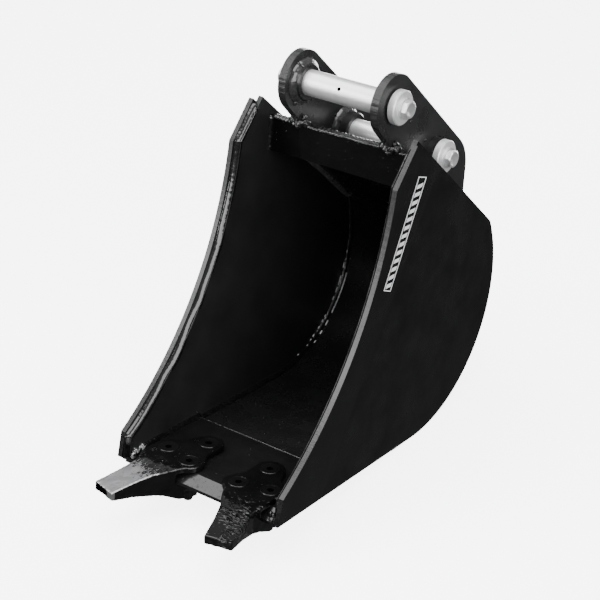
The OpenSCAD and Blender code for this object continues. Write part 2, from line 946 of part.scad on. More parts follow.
module link_cap_bolts() {
    color([0.7, 0.7, 0.72])
        on_both_sides() cap_bolt(link_cap_x, link_pin_at);
}

module cap_washer(x, p) {
    difference() {
        rod_x(x + cap_thickness, washer_thickness, washer_radius, p);
        rod_x(x, 3 * cap_thickness, thread_radius + hole_play, p);
    }
}

module dipper_cap_washers() {
    color([0.7, 0.7, 0.72])
        on_both_sides() cap_washer(dipper_cap_x, [0, 0]);
}

module link_cap_washers() {
    color([0.7, 0.7, 0.72])
        on_both_sides() cap_washer(link_cap_x, link_pin_at);
}

// ring between boss and cap, held on the pin
module seal(x, width, p) {
    difference() {
        rod_x(x - width + seal_play, width - seal_play, seal_outer, p);
        rod_x(x - 2 * width, 3 * width, pin_radius + fit_gap, p);
    }
}

module dipper_seals() {
    color([0.02, 0.02, 0.02])
        on_both_sides() seal(dipper_cap_x, dipper_seal_width, [0, 0]);
}

module link_seals() {
    color([0.02, 0.02, 0.02])
        on_both_sides() seal(link_cap_x, link_seal_width, link_pin_at);
}

left_side_plate();
right_side_plate();
left_side_cutter();
right_side_cutter();
rolled_sheet();
lip();
top_beam();
left_ear();
right_ear();
left_dipper_boss();
right_dipper_boss();
left_link_boss();
right_link_boss();
left_cutter_weld();
right_cutter_weld();
ear_welds();
boss_welds();
beam_welds();
left_heel_weld();
right_heel_weld();
floor_seam_weld();
left_tooth();
right_tooth();
left_tooth_bolts();
right_tooth_bolts();
tooth_washers();
tooth_nuts();
dipper_pin();
left_dipper_cap();
right_dipper_cap();
dipper_cap_bolts();
dipper_cap_washers();
dipper_seals();
link_pin();
left_link_cap();
right_link_cap();
link_cap_bolts();
link_cap_washers();
link_seals();
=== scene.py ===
import bpy
import bmesh
import math
import random
from mathutils import Matrix, Vector, noise


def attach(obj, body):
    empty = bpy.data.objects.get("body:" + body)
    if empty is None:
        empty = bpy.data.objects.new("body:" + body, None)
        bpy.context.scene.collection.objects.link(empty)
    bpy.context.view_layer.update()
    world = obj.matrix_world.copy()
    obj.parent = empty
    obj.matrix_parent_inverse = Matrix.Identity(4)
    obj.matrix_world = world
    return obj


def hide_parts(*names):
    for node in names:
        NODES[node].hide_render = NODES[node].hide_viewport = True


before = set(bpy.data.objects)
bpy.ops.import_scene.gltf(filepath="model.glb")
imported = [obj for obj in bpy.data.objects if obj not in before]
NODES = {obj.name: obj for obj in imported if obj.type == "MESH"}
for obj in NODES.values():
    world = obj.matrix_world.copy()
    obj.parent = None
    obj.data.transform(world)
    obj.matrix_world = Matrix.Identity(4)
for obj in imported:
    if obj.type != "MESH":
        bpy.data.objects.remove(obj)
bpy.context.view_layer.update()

MM = 0.001


def mm(x, y, z):
    return Vector((x * MM, y * MM, z * MM))


# The bucket in the YZ plane, in millimetres from the middle of the dipper pin
SLOPE = math.radians(38.6)
ALONG = Vector((math.cos(SLOPE), -math.sin(SLOPE)))
UP = Vector((math.sin(SLOPE), math.cos(SLOPE)))
SHEET_LEVEL = -38.4
EDGE_LEVEL = SHEET_LEVEL + 8.7
SHEET_T = 8.0
HEEL_R = 160.0
TOP_H = HEEL_R * 0.873
HEEL_Y = 32.0
HEEL_Z = (SHEET_LEVEL - TOP_H - UP[0] * HEEL_Y) / UP[1]
HEEL = Vector((HEEL_Y, HEEL_Z))
FLOOR = HEEL_Z - HEEL_R
BEND_R = 16.0
BEND_RISE = TOP_H - BEND_R
BEND_RUN = math.sqrt((HEEL_R - BEND_R) ** 2 - BEND_RISE ** 2)
BEND = HEEL + BEND_RISE * UP + BEND_RUN * ALONG
NOSE_Y = -236.5
LIP_REAR = NOSE_Y + 122.0
LIP_TOP = FLOOR + 12.0
HALF = 115.0
CUTTER_T = 6.0
SIDE_T = 6.0
SIDE_OUT = HALF - CUTTER_T
SIDE_IN = SIDE_OUT - SIDE_T
TAPER = math.radians(0.6)
OVERHANG = 7.0
CUTTER_TOP = -2.0 * ALONG + (EDGE_LEVEL - 7.4) * UP
HEAD_DIR = Vector((-math.cos(math.radians(51)), -math.sin(math.radians(51))))
KINK = CUTTER_TOP + 55.0 * HEAD_DIR
LOW = Vector((NOSE_Y - 1.5, FLOOR + 38.0))
FOOT = Vector((NOSE_Y - 7.0, FLOOR + 8.0))
CHORD = (LOW - KINK).length
CHORD_DIR = (LOW - KINK).normalized()
BOW = CHORD * 0.103
MOUTH_R = (CHORD * CHORD / 4 + BOW * BOW) / (2 * BOW)
MOUTH = (KINK + LOW) / 2 + (MOUTH_R - BOW) * Vector((CHORD_DIR[1], -CHORD_DIR[0]))
BEHIND = (CUTTER_TOP - FOOT).normalized()
BEHIND = Vector((BEHIND[1], -BEHIND[0]))
BEAM_Y = 2.5
BEAM_REAR = 14.5
EAR_IN = 57.5
EAR_OUT = 67.5
EAR_REAR = 167.6
LINK = 118.4 * Vector((math.cos(math.radians(41.3)), -math.sin(math.radians(41.3))))
BOSS_R = 22.0
TOOTH_TOP = LIP_TOP + 7.0
TOOTH_SPREAD = 44.2
TOOTH_BOLT_Y = NOSE_Y + 70.3
TOE = math.radians(13.5)
LOWER_JAW_T = 10.0
WASHER_T = 2.5
NUT_H = 10.8
BOLT_TAIL = 7.0
CAP_T = 8.4
DIPPER_CAP_X = EAR_OUT + 0.4 + 1.6
LINK_CAP_X = EAR_OUT + 8.0 + 2.8
FULL_TURN = 2 * math.pi
GREASE_ANGLE = math.radians(26)


def sheet_z(y, level=SHEET_LEVEL):
    return (level - UP[0] * y) / UP[1]


BEAM_LOW = sheet_z(BEAM_Y) - 43.5


def on_side(y, z, depth=0.0):
    """Half width of a side at a point, depth inside the outer face of the side cutter."""
    d = (y - CUTTER_TOP[0]) * BEHIND[0] + (z - CUTTER_TOP[1]) * BEHIND[1]
    return HALF - depth - d * math.sin(TAPER)


def at(side, p, depth):
    """A point of a side in metres, at depth under the cutter's outer face."""
    return mm(side * on_side(p[0], p[1], depth), p[0], p[1])


def tooth_axes(side):
    """Directions along a tooth to its tip, and across it to the outside."""
    f = Vector((side * math.sin(TOE), -math.cos(TOE), 0))
    o = Vector((side * math.cos(TOE), math.sin(TOE), 0))
    return f, o


def tooth_root(side, z=0.0):
    """The middle of a tooth's rear bolt, in millimetres."""
    return Vector((side * TOOTH_SPREAD, TOOTH_BOLT_Y, z))


def on_tooth(side, f, o, z):
    a, b = tooth_axes(side)
    p = tooth_root(side, z) + a * f + b * o
    return p * MM


# Finishes
def new_material(name):
    m = bpy.data.materials.new(name)
    m.use_nodes = True
    tree = m.node_tree
    tree.nodes.clear()
    out = tree.nodes.new("ShaderNodeOutputMaterial")
    shader = tree.nodes.new("ShaderNodeBsdfPrincipled")
    tree.links.new(shader.outputs[0], out.inputs[0])
    return m, tree, shader


def place(tree, scale=(1, 1, 1), turn=0.0, shift=(0, 0, 0)):
    co = tree.nodes.new("ShaderNodeTexCoord")
    mp = tree.nodes.new("ShaderNodeMapping")
    mp.inputs["Scale"].default_value = scale
    mp.inputs["Rotation"].default_value = (0, 0, turn)
    mp.inputs["Location"].default_value = shift
    tree.links.new(co.outputs["Object"], mp.inputs["Vector"])
    return mp.outputs["Vector"]


def noise_tex(tree, vector, scale, detail=4.0, rough=0.55, distort=0.0):
    n = tree.nodes.new("ShaderNodeTexNoise")
    n.inputs["Scale"].default_value = scale
    n.inputs["Detail"].default_value = detail
    n.inputs["Roughness"].default_value = rough
    n.inputs["Distortion"].default_value = distort
    tree.links.new(vector, n.inputs["Vector"])
    return n.outputs["Fac"]


def ramp(tree, value, stops):
    r = tree.nodes.new("ShaderNodeValToRGB")
    el = r.color_ramp.elements
    el[0].position, el[0].color = stops[0][0], list(stops[0][1]) + [1]
    el[1].position, el[1].color = stops[-1][0], list(stops[-1][1]) + [1]
    for p, c in stops[1:-1]:
        e = el.new(p)
        e.color = list(c) + [1]
    tree.links.new(value, r.inputs["Fac"])
    return r.outputs["Color"]


def grey(v):
    return (v, v, v * 1.02)


def to_range(tree, value, a, b, lo=0.0, hi=1.0):
    r = tree.nodes.new("ShaderNodeMapRange")
    r.inputs["From Min"].default_value = lo
    r.inputs["From Max"].default_value = hi
    r.inputs["To Min"].default_value = a
    r.inputs["To Max"].default_value = b
    tree.links.new(value, r.inputs["Value"])
    return r.outputs["Result"]


def maths(tree, kind, a, b=0.0):
    n = tree.nodes.new("ShaderNodeMath")
    n.operation = kind
    for i, v in enumerate((a, b)):
        if isinstance(v, (int, float)):
            n.inputs[i].default_value = v
        else:
            tree.links.new(v, n.inputs[i])
    return n.outputs[0]


def axis_of(tree, vector, axis):
    s = tree.nodes.new("ShaderNodeSeparateXYZ")
    tree.links.new(vector, s.inputs[0])
    return s.outputs[axis]


def bump(tree, height, strength, distance, below=None):
    b = tree.nodes.new("ShaderNodeBump")
    b.inputs["Strength"].default_value = strength
    b.inputs["Distance"].default_value = distance
    tree.links.new(height, b.inputs["Height"])
    if below is not None:
        tree.links.new(below, b.inputs["Normal"])
    return b.outputs["Normal"]


def on_edges(tree):
    """1 on faces that look along the plate, 0 on the flat faces square to X."""
    g = tree.nodes.new("ShaderNodeNewGeometry")
    n = maths(tree, "ABSOLUTE", axis_of(tree, g.outputs["Normal"], "X"))
    return to_range(tree, n, 1.0, 0.0, 0.3, 0.7)


def paint(name, lo, hi, r0, r1, peel=0.1, wave=0.2, grit=0.0, spec=0.5, cut=0.0, shader=None):
    """Black gloss paint: orange peel, the plate's soft waves, dust and flame-cut edges."""
    if shader is None:
        m, t, s = new_material(name)
    else:
        m, t, s = shader
    v = place(t)
    cloud = noise_tex(t, v, 26.0, 5.0, 0.6)
    fine = noise_tex(t, v, 560.0, 3.0, 0.5)
    soft = noise_tex(t, v, 15.0, 2.0, 0.4)
    t.links.new(ramp(t, cloud, [(0.3, grey(lo)), (0.7, grey(hi))]), s.inputs["Base Color"])
    t.links.new(to_range(t, cloud, r0, r1, 0.3, 0.7), s.inputs["Roughness"])
    s.inputs["Specular IOR Level"].default_value = spec
    n = bump(t, soft, wave, 0.002)
    n = bump(t, fine, peel, 0.0004, n)
    if grit:
        specks = noise_tex(t, v, 300.0, 2.0, 0.5)
        n = bump(t, to_range(t, specks, 0.0, 1.0, 0.64, 0.76), grit, 0.0007, n)
    if cut:
        fine_lines = noise_tex(t, place(t, (40, 800, 800)), 1.0, 3.0, 0.6)
        bands = noise_tex(t, place(t, (18, 210, 210)), 1.0, 2.0, 0.5)
        lines = maths(t, "ADD", maths(t, "MULTIPLY", fine_lines, 0.25), bands)
        n = bump(t, maths(t, "MULTIPLY", lines, on_edges(t)), cut, 0.0022, n)
    t.links.new(n, s.inputs["Normal"])
    return m


PAINT_SIDE = paint("paint_side", 0.002, 0.0065, 0.2, 0.3, 0.10, 0.15, spec=0.42, cut=0.15)
PAINT_STRIP = paint("paint_strip", 0.003, 0.005, 0.2, 0.3, 0.12, 0.2, cut=0.12)
# Lighter copy of the black paint for the rolled sheet: painted fill light inside the bucket.
PAINT_INSIDE_PAINTED_LIGHT = paint("paint_inside_painted_light", 0.007, 0.010, 0.2, 0.32, 0.06, 0.12, 0.0)
# Lighter copy of the black paint for the left side plate: painted fill light on its inner face.
PAINT_LEFT_PAINTED_LIGHT = paint("paint_left_painted_light", 0.010, 0.015, 0.3, 0.42, 0.06, 0.12, 0.0, 0.4, 0.15)
PAINT_BEAM = paint("paint_beam", 0.002, 0.004, 0.06, 0.12, 0.06, 0.2, 0.08)
PAINT_EAR = paint("paint_ear", 0.015, 0.022, 0.24, 0.34, 0.2, 0.2, spec=0.36, cut=0.9)
PAINT_LIP = paint("paint_lip", 0.005, 0.009, 0.10, 0.2, 0.14, 0.25, 0.3)
PAINT_BOSS = paint("paint_boss", 0.008, 0.014, 0.22, 0.36, 0.2, 0.3, 0.3)
PAINT_BOLT = paint("paint_bolt", 0.003, 0.006, 0.06, 0.14, 0.2, 0.2, 0.2)
# Matte black paint without specular: painted shade for the bolt sockets, the tooth pocket and the grease
# hole.
PAINT_PAINTED_SHADE = paint("painted_shade_paint", 0.001, 0.002, 0.6, 0.8, 0.2, 0.2, 0.0, 0.0)


def weld_paint(name, lo=0.005, hi=0.014, r0=0.07, r1=0.2, rough=0.7):
    """Glossy paint over a weld: fine ripples under a clear coat."""
    m, t, s = new_material(name)
    v = place(t)
    cloud = noise_tex(t, v, 260.0, 6.0, 0.65)
    fine = noise_tex(t, v, 1100.0, 3.0, 0.6)
    t.links.new(ramp(t, cloud, [(0.35, grey(lo)), (0.7, grey(hi))]), s.inputs["Base Color"])
    t.links.new(to_range(t, cloud, r0, r1, 0.3, 0.7), s.inputs["Roughness"])
    s.inputs["Coat Weight"].default_value = 0.6
    s.inputs["Coat Roughness"].default_value = 0.06
    n = bump(t, cloud, rough, 0.0009)
    n = bump(t, fine, rough * 0.4, 0.0003, n)
    t.links.new(n, s.inputs["Normal"])
    return m


WELD = weld_paint("paint_weld")
WELD_SMOOTH = weld_paint("paint_weld_smooth", 0.003, 0.008, 0.1, 0.18, 0.05)
WELD_BOSS = weld_paint("paint_weld_boss", 0.02, 0.05, 0.12, 0.26, 0.12)
# Lighter weld paint: a painted highlight along the bead at the top bend.
WELD_PAINTED_HIGHLIGHT = weld_paint("paint_weld_painted_highlight", 0.03, 0.09, 0.3, 0.5, 0.3)


def steel(name, base=0.72, r0=0.24, r1=0.36, scale=(2400, 6, 6), mark=0.25, metal=1.0):
    """Plated or turned steel: fine tool marks and a cloudy surface."""
    m, t, s = new_material(name)
    v = place(t)
    cloud = noise_tex(t, v, 75.0, 5.0, 0.6)
    t.links.new(ramp(t, cloud, [(0.3, (base * 0.88, base * 0.885, base * 0.89)),
                                (0.7, (base, base * 1.002, base * 1.006))]), s.inputs["Base Color"])
    s.inputs["Metallic"].default_value = metal
    rings = noise_tex(t, place(t, scale), 1.0, 3.0, 0.6)
    both = maths(t, "ADD", maths(t, "MULTIPLY", cloud, 0.6), maths(t, "MULTIPLY", rings, 0.4))
    t.links.new(to_range(t, both, r0, r1, 0.3, 0.7), s.inputs["Roughness"])
    if scale[0] < scale[1]:
        rings = maths(t, "MULTIPLY", rings, on_edges(t))
        n = bump(t, rings, mark, 0.0006)
    else:
        n = bump(t, rings, mark, 0.00012)
    n = bump(t, cloud, 0.05, 0.0008, n)
    t.links.new(n, s.inputs["Normal"])
    return m


PIN_STEEL = steel("pin_steel", 0.93, 0.32, 0.42, metal=0.72)
CAP_STEEL = steel("cap_steel", 0.93, 0.42, 0.55, (50, 1100, 1100), 0.5, 0.6)
BOLT_STEEL = steel("bolt_steel", 0.9, 0.3, 0.42, (400, 400, 400), 0.1, 0.75)


def rubber():
    m, t, s = new_material("seal_rubber")
    v = place(t)
    cloud = noise_tex(t, v, 160.0, 4.0, 0.6)
    t.links.new(ramp(t, cloud, [(0.3, grey(0.008)), (0.7, grey(0.02))]), s.inputs["Base Color"])
    t.links.new(to_range(t, cloud, 0.4, 0.6, 0.3, 0.7), s.inputs["Roughness"])
    t.links.new(bump(t, cloud, 0.3, 0.0003), s.inputs["Normal"])
    return m


RUBBER = rubber()


def along_tooth(t, side, start, end):
    """0 at start and 1 at end, in millimetres from the rear bolt along a tooth."""
    f = tooth_axes(side)[0]
    dot = t.nodes.new("ShaderNodeVectorMath")
    dot.operation = "DOT_PRODUCT"
    dot.inputs[1].default_value = f
    co = t.nodes.new("ShaderNodeTexCoord")
    t.links.new(co.outputs["Object"], dot.inputs[0])
    base = f.dot(tooth_root(side) * MM)
    return to_range(t, dot.outputs["Value"], 0.0, 1.0, base + start * MM, base + end * MM)


def worn_paint(name, side, start, end, bare=0.62, chips=0.5, r_bare=(0.3, 0.42)):
    """Paint worn to bare steel from start to end along a tooth, with chipped edges; the bare keen edges are
    worn paint and also painted highlights along the lit edges.
    """
    m, t, s = new_material(name)
    out = next(n for n in t.nodes if n.type == "OUTPUT_MATERIAL")
    paint(name, 0.002, 0.005, 0.05, 0.12, 0.12, 0.3, 0.3, 0.5, 0.0, (m, t, s))
    v = place(t)
    metal = t.nodes.new("ShaderNodeBsdfPrincipled")
    metal.inputs["Metallic"].default_value = 1.0
    cloud = noise_tex(t, v, 60.0, 6.0, 0.65)
    t.links.new(ramp(t, cloud, [(0.3, grey(bare * 0.7)), (0.7, grey(bare))]), metal.inputs["Base Color"])
    grain = noise_tex(t, v, 700.0, 4.0, 0.6)
    t.links.new(to_range(t, grain, r_bare[0], r_bare[1], 0.3, 0.7), metal.inputs["Roughness"])
    t.links.new(bump(t, grain, 0.15, 0.0003), metal.inputs["Normal"])
    run = along_tooth(t, side, start, end)
    grainy = noise_tex(t, place(t, (520, 150, 300)), 1.0, 6.0, 0.75, 0.3)
    broad = noise_tex(t, v, 60.0, 4.0, 0.6)
    ragged = maths(t, "ADD", maths(t, "MULTIPLY", grainy, 0.75), maths(t, "MULTIPLY", broad, 0.25))
    edge = maths(t, "ADD", run, maths(t, "MULTIPLY", maths(t, "SUBTRACT", ragged, 0.5), chips * 5.0))
    g = t.nodes.new("ShaderNodeNewGeometry")
    # Bare steel on keen edges: worn paint, and also painted highlights along the lit edges.
    keen = to_range(t, g.outputs["Pointiness"], 0.0, 0.9, 0.54, 0.60)
    top = to_range(t, axis_of(t, g.outputs["Normal"], "Z"), 0.25, 1.0, 0.3, 0.8)
    mask = maths(t, "ADD", maths(t, "MULTIPLY", edge, top), maths(t, "MULTIPLY", keen, 0.62))
    sharp = to_range(t, mask, 0.0, 1.0, 0.5, 0.53)
    mix = t.nodes.new("ShaderNodeMixShader")
    t.links.new(sharp, mix.inputs[0])
    t.links.new(s.outputs[0], mix.inputs[1])
    t.links.new(metal.outputs[0], mix.inputs[2])
    t.links.new(mix.outputs[0], out.inputs[0])
    return m


def runs_of_paint(m, side, start):
    """Thick wrinkled paint from start to the tip of a tooth, on top of its other bumps."""
    t = m.node_tree
    s = next(n for n in t.nodes if n.type == "BSDF_PRINCIPLED")
    run = along_tooth(t, side, start, start + 18)
    lumps = noise_tex(t, place(t, (70, 170, 120)), 1.0, 2.0, 0.5, 1.4)
    lumps = to_range(t, lumps, 0.0, 1.0, 0.42, 0.75)
    patchy = to_range(t, noise_tex(t, place(t), 38.0, 2.0, 0.5), 0.0, 1.0, 0.52, 0.59)
    lumps = maths(t, "MULTIPLY", lumps, patchy)
    below = s.inputs["Normal"].links[0].from_socket
    t.links.new(bump(t, maths(t, "MULTIPLY", lumps, run), 1.0, 0.0036, below), s.inputs["Normal"])


TOOTH_LEFT = worn_paint("tooth_left", -1, 70.0, 112.0, 0.46, 0.85)
TOOTH_RIGHT = worn_paint("tooth_right", 1, 160.0, 235.0, 0.45, 0.4)
runs_of_paint(TOOTH_RIGHT, 1, 70.0)


def worn_weld(name):
    """Weld paint chipped down to bright steel."""
    m, t, s = new_material(name)
    v = place(t)
    chips = to_range(t, noise_tex(t, v, 260.0, 6.0, 0.7), 0.0, 1.0, 0.5, 0.55)
    t.links.new(ramp(t, chips, [(0.0, grey(0.01)), (1.0, grey(0.62))]), s.inputs["Base Color"])
    t.links.new(to_range(t, chips, 0.15, 0.45), s.inputs["Roughness"])
    t.links.new(to_range(t, chips, 0.0, 0.8), s.inputs["Metallic"])
    t.links.new(bump(t, noise_tex(t, v, 400.0, 4.0, 0.6), 0.5, 0.0006), s.inputs["Normal"])
    return m


WELD_WORN = worn_weld("paint_weld_worn")
# Pale, mostly diffuse steel: painted glints for the bright dashes along the left heel bead.
PAINTED_GLINT_STEEL = steel("painted_glint_steel", 0.92, 0.22, 0.32, (500, 300, 500), 0.3, 0.3)
BARE_TIP = steel("bare_tip", 0.62, 0.3, 0.42, (500, 300, 500), 0.3)


# Mesh builders
def add_piece(name, bm, material, body="shell", smooth=True, replaces=()):
    bmesh.ops.recalc_face_normals(bm, faces=bm.faces)
    me = bpy.data.meshes.new(name)
    bm.to_mesh(me)
    bm.free()
    if smooth:
        for p in me.polygons:
            p.use_smooth = True
    me.materials.append(material)
    o = bpy.data.objects.new(name, me)
    bpy.context.scene.collection.objects.link(o)
    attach(o, body)
    if replaces:
        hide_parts(*replaces)
    return o


def resample(points, step):
    """Evenly spaced points along a path, each with its direction."""
    lengths = [0.0]
    for a, b in zip(points, points[1:]):
        lengths.append(lengths[-1] + (b - a).length)
    total = lengths[-1]
    count = max(2, int(round(total / step)) + 1)
    out = []
    k = 0
    for i in range(count):
        s = total * i / (count - 1)
        while k < len(points) - 2 and lengths[k + 1] < s:
            k += 1
        run = lengths[k + 1] - lengths[k]
        f = (s - lengths[k]) / run if run > 0 else 0.0
        out.append((points[k].lerp(points[k + 1], f), s, k, f))
    return out, total


def add_bead(bm, points, outward, half, rise, sunk, pitch=3.4, rough=0.16, seed=0,
             ends=5.0, sides=12, lumpy=1.0):
    """A rippled weld bead along points in metres.

    outward is a direction, or a list with one for each point. half, rise and sunk are the
    half width, the height of the section and how far its middle lies outward, in millimetres.
    """
    rows, total = resample(points, 0.55 * MM)
    many = isinstance(outward, list)
    last = None
    for i, (p, s, k, f) in enumerate(rows):
        q = rows[min(i + 1, len(rows) - 1)][0] - rows[max(i - 1, 0)][0]
        t = q.normalized()
        w = outward[k].lerp(outward[min(k + 1, len(outward) - 1)], f) if many else outward
        w = (w - w.dot(t) * t).normalized()
        u = t.cross(w)
        mm_s = s / MM
        drift = noise.noise(Vector((mm_s * 0.035, seed * 7.3, 1.7)))
        wobble = noise.noise(Vector((mm_s * 0.16, seed * 3.1, 5.2)))
        end = min(1.0, (min(s, total - s) / MM + 0.4) / ends)
        end = math.sqrt(max(0.05, end * (2 - end)))
        ring = []
        for j in range(sides):
            a = FULL_TURN * j / sides
            cu, cw = math.cos(a), math.sin(a)
            phase = mm_s / pitch + 0.9 * drift + 0.28 * cu * cu
            saw = phase - math.floor(phase)
            ripple = (1 - saw) ** 0.6 - 0.55
            lump = noise.noise(Vector((mm_s * 0.33, cu * 1.3 + seed, cw * 1.3)))
            g = end * (1 + rough * ripple + lumpy * (0.16 * wobble + 0.2 * lump))
            side_shift = 0.35 * drift * half
            shift = u * (half * g * cu + side_shift) + w * (sunk + rise * g * cw)
            ring.append(bm.verts.new(p + shift * MM))
        if last:
            for j in range(sides):
                n = (j + 1) % sides
                bm.faces.new((last[j], last[n], ring[n], ring[j]))
        else:
            bm.faces.new(ring)
        last = ring
    bm.faces.new(list(reversed(last)))


def add_lump(bm, centre, normal, r, flat=0.6, seed=0, rough=0.3, rings=5, sides=10):
    """A domed droplet or gob sitting on a surface."""
    n = normal.normalized()
    u = n.orthogonal().normalized()
    v = n.cross(u)
    top = bm.verts.new(centre + n * r * flat * MM)
    last = None
    for i in range(1, rings + 1):
        a = math.pi * 0.62 * i / rings
        ring = []
        for j in range(sides):
            b = FULL_TURN * j / sides
            d = u * math.cos(b) * math.sin(a) + v * math.sin(b) * math.sin(a) + n * math.cos(a) * flat
            g = 1 + rough * noise.noise(d * 1.7 + Vector((seed * 3.7, seed, 0)))
            ring.append(bm.verts.new(centre + d * r * g * MM))
        for j in range(sides):
            k = (j + 1) % sides
            if last is None:
                bm.faces.new((top, ring[j], ring[k]))
            else:
                bm.faces.new((last[j], ring[j], ring[k], last[k]))
        last = ring
    bm.faces.new(list(reversed(last)))


def arc(centre, radius, a0, a1, steps):
    return [Vector((centre[0] + radius * math.cos(a0 + (a1 - a0) * i / steps),
                    centre[1] + radius * math.sin(a0 + (a1 - a0) * i / steps))) for i in range(steps + 1)]


def ring_x(x, p, r, steps=72, start=0.0):
    return [mm(x, p[0] + r * math.cos(start + FULL_TURN * i / steps),
               p[1] + r * math.sin(start + FULL_TURN * i / steps)) for i in range(steps + 1)]


# Weld beads
def side_path(side):
    """The corner between the cutter and the plate's front edge, with its outward directions."""
    ahead = Vector((HEAD_DIR[1], -HEAD_DIR[0]))
    kink = MOUTH + (MOUTH_R + OVERHANG) * (KINK - MOUTH).normalized()
    low = MOUTH + (MOUTH_R + OVERHANG) * (LOW - MOUTH).normalized()
    a0 = math.atan2(*reversed(kink - MOUTH))
    a1 = math.atan2(*reversed(low - MOUTH))
    top = CUTTER_TOP - OVERHANG * ahead + 3.0 * HEAD_DIR
    pts = [(top, ahead), (top.lerp(kink, 0.5), ahead)]
    for p in arc(MOUTH, MOUTH_R + OVERHANG, a0, a1, 60):
        pts.append((p, (MOUTH - p).normalized()))
    foot = Vector((FOOT[0] + OVERHANG, FLOOR + 4.0))
    pts.append((foot, Vector((-1, 0.05))))
    line = [at(side, p, CUTTER_T + 1.3) for p, w in pts]
    out = [Vector((-side, w[0], w[1])).normalized() for p, w in pts]
    return line, out


def hollow_path(front, back):
    """The inside of lip, floor, heel, bend and top sheet, with inward directions."""
    up = Vector((0, 1))
    pts = [(Vector((front, LIP_TOP)), up), (Vector((LIP_REAR, LIP_TOP)), up),
           (Vector((LIP_REAR + 3, FLOOR + SHEET_T)), up), (Vector((HEEL_Y - 40, FLOOR + SHEET_T)), up)]
    a1 = math.atan2(*reversed(BEND - HEEL))
    for p in arc(HEEL, HEEL_R - SHEET_T, -math.pi / 2, a1, 60):
        pts.append((p, (HEEL - p).normalized()))
    for p in arc(BEND, BEND_R - SHEET_T, a1, math.atan2(UP[1], UP[0]), 8):
        pts.append((p, (BEND - p).normalized()))
    end = Vector((back, sheet_z(back, SHEET_LEVEL - SHEET_T)))
    pts.append((end, -UP))
    return pts


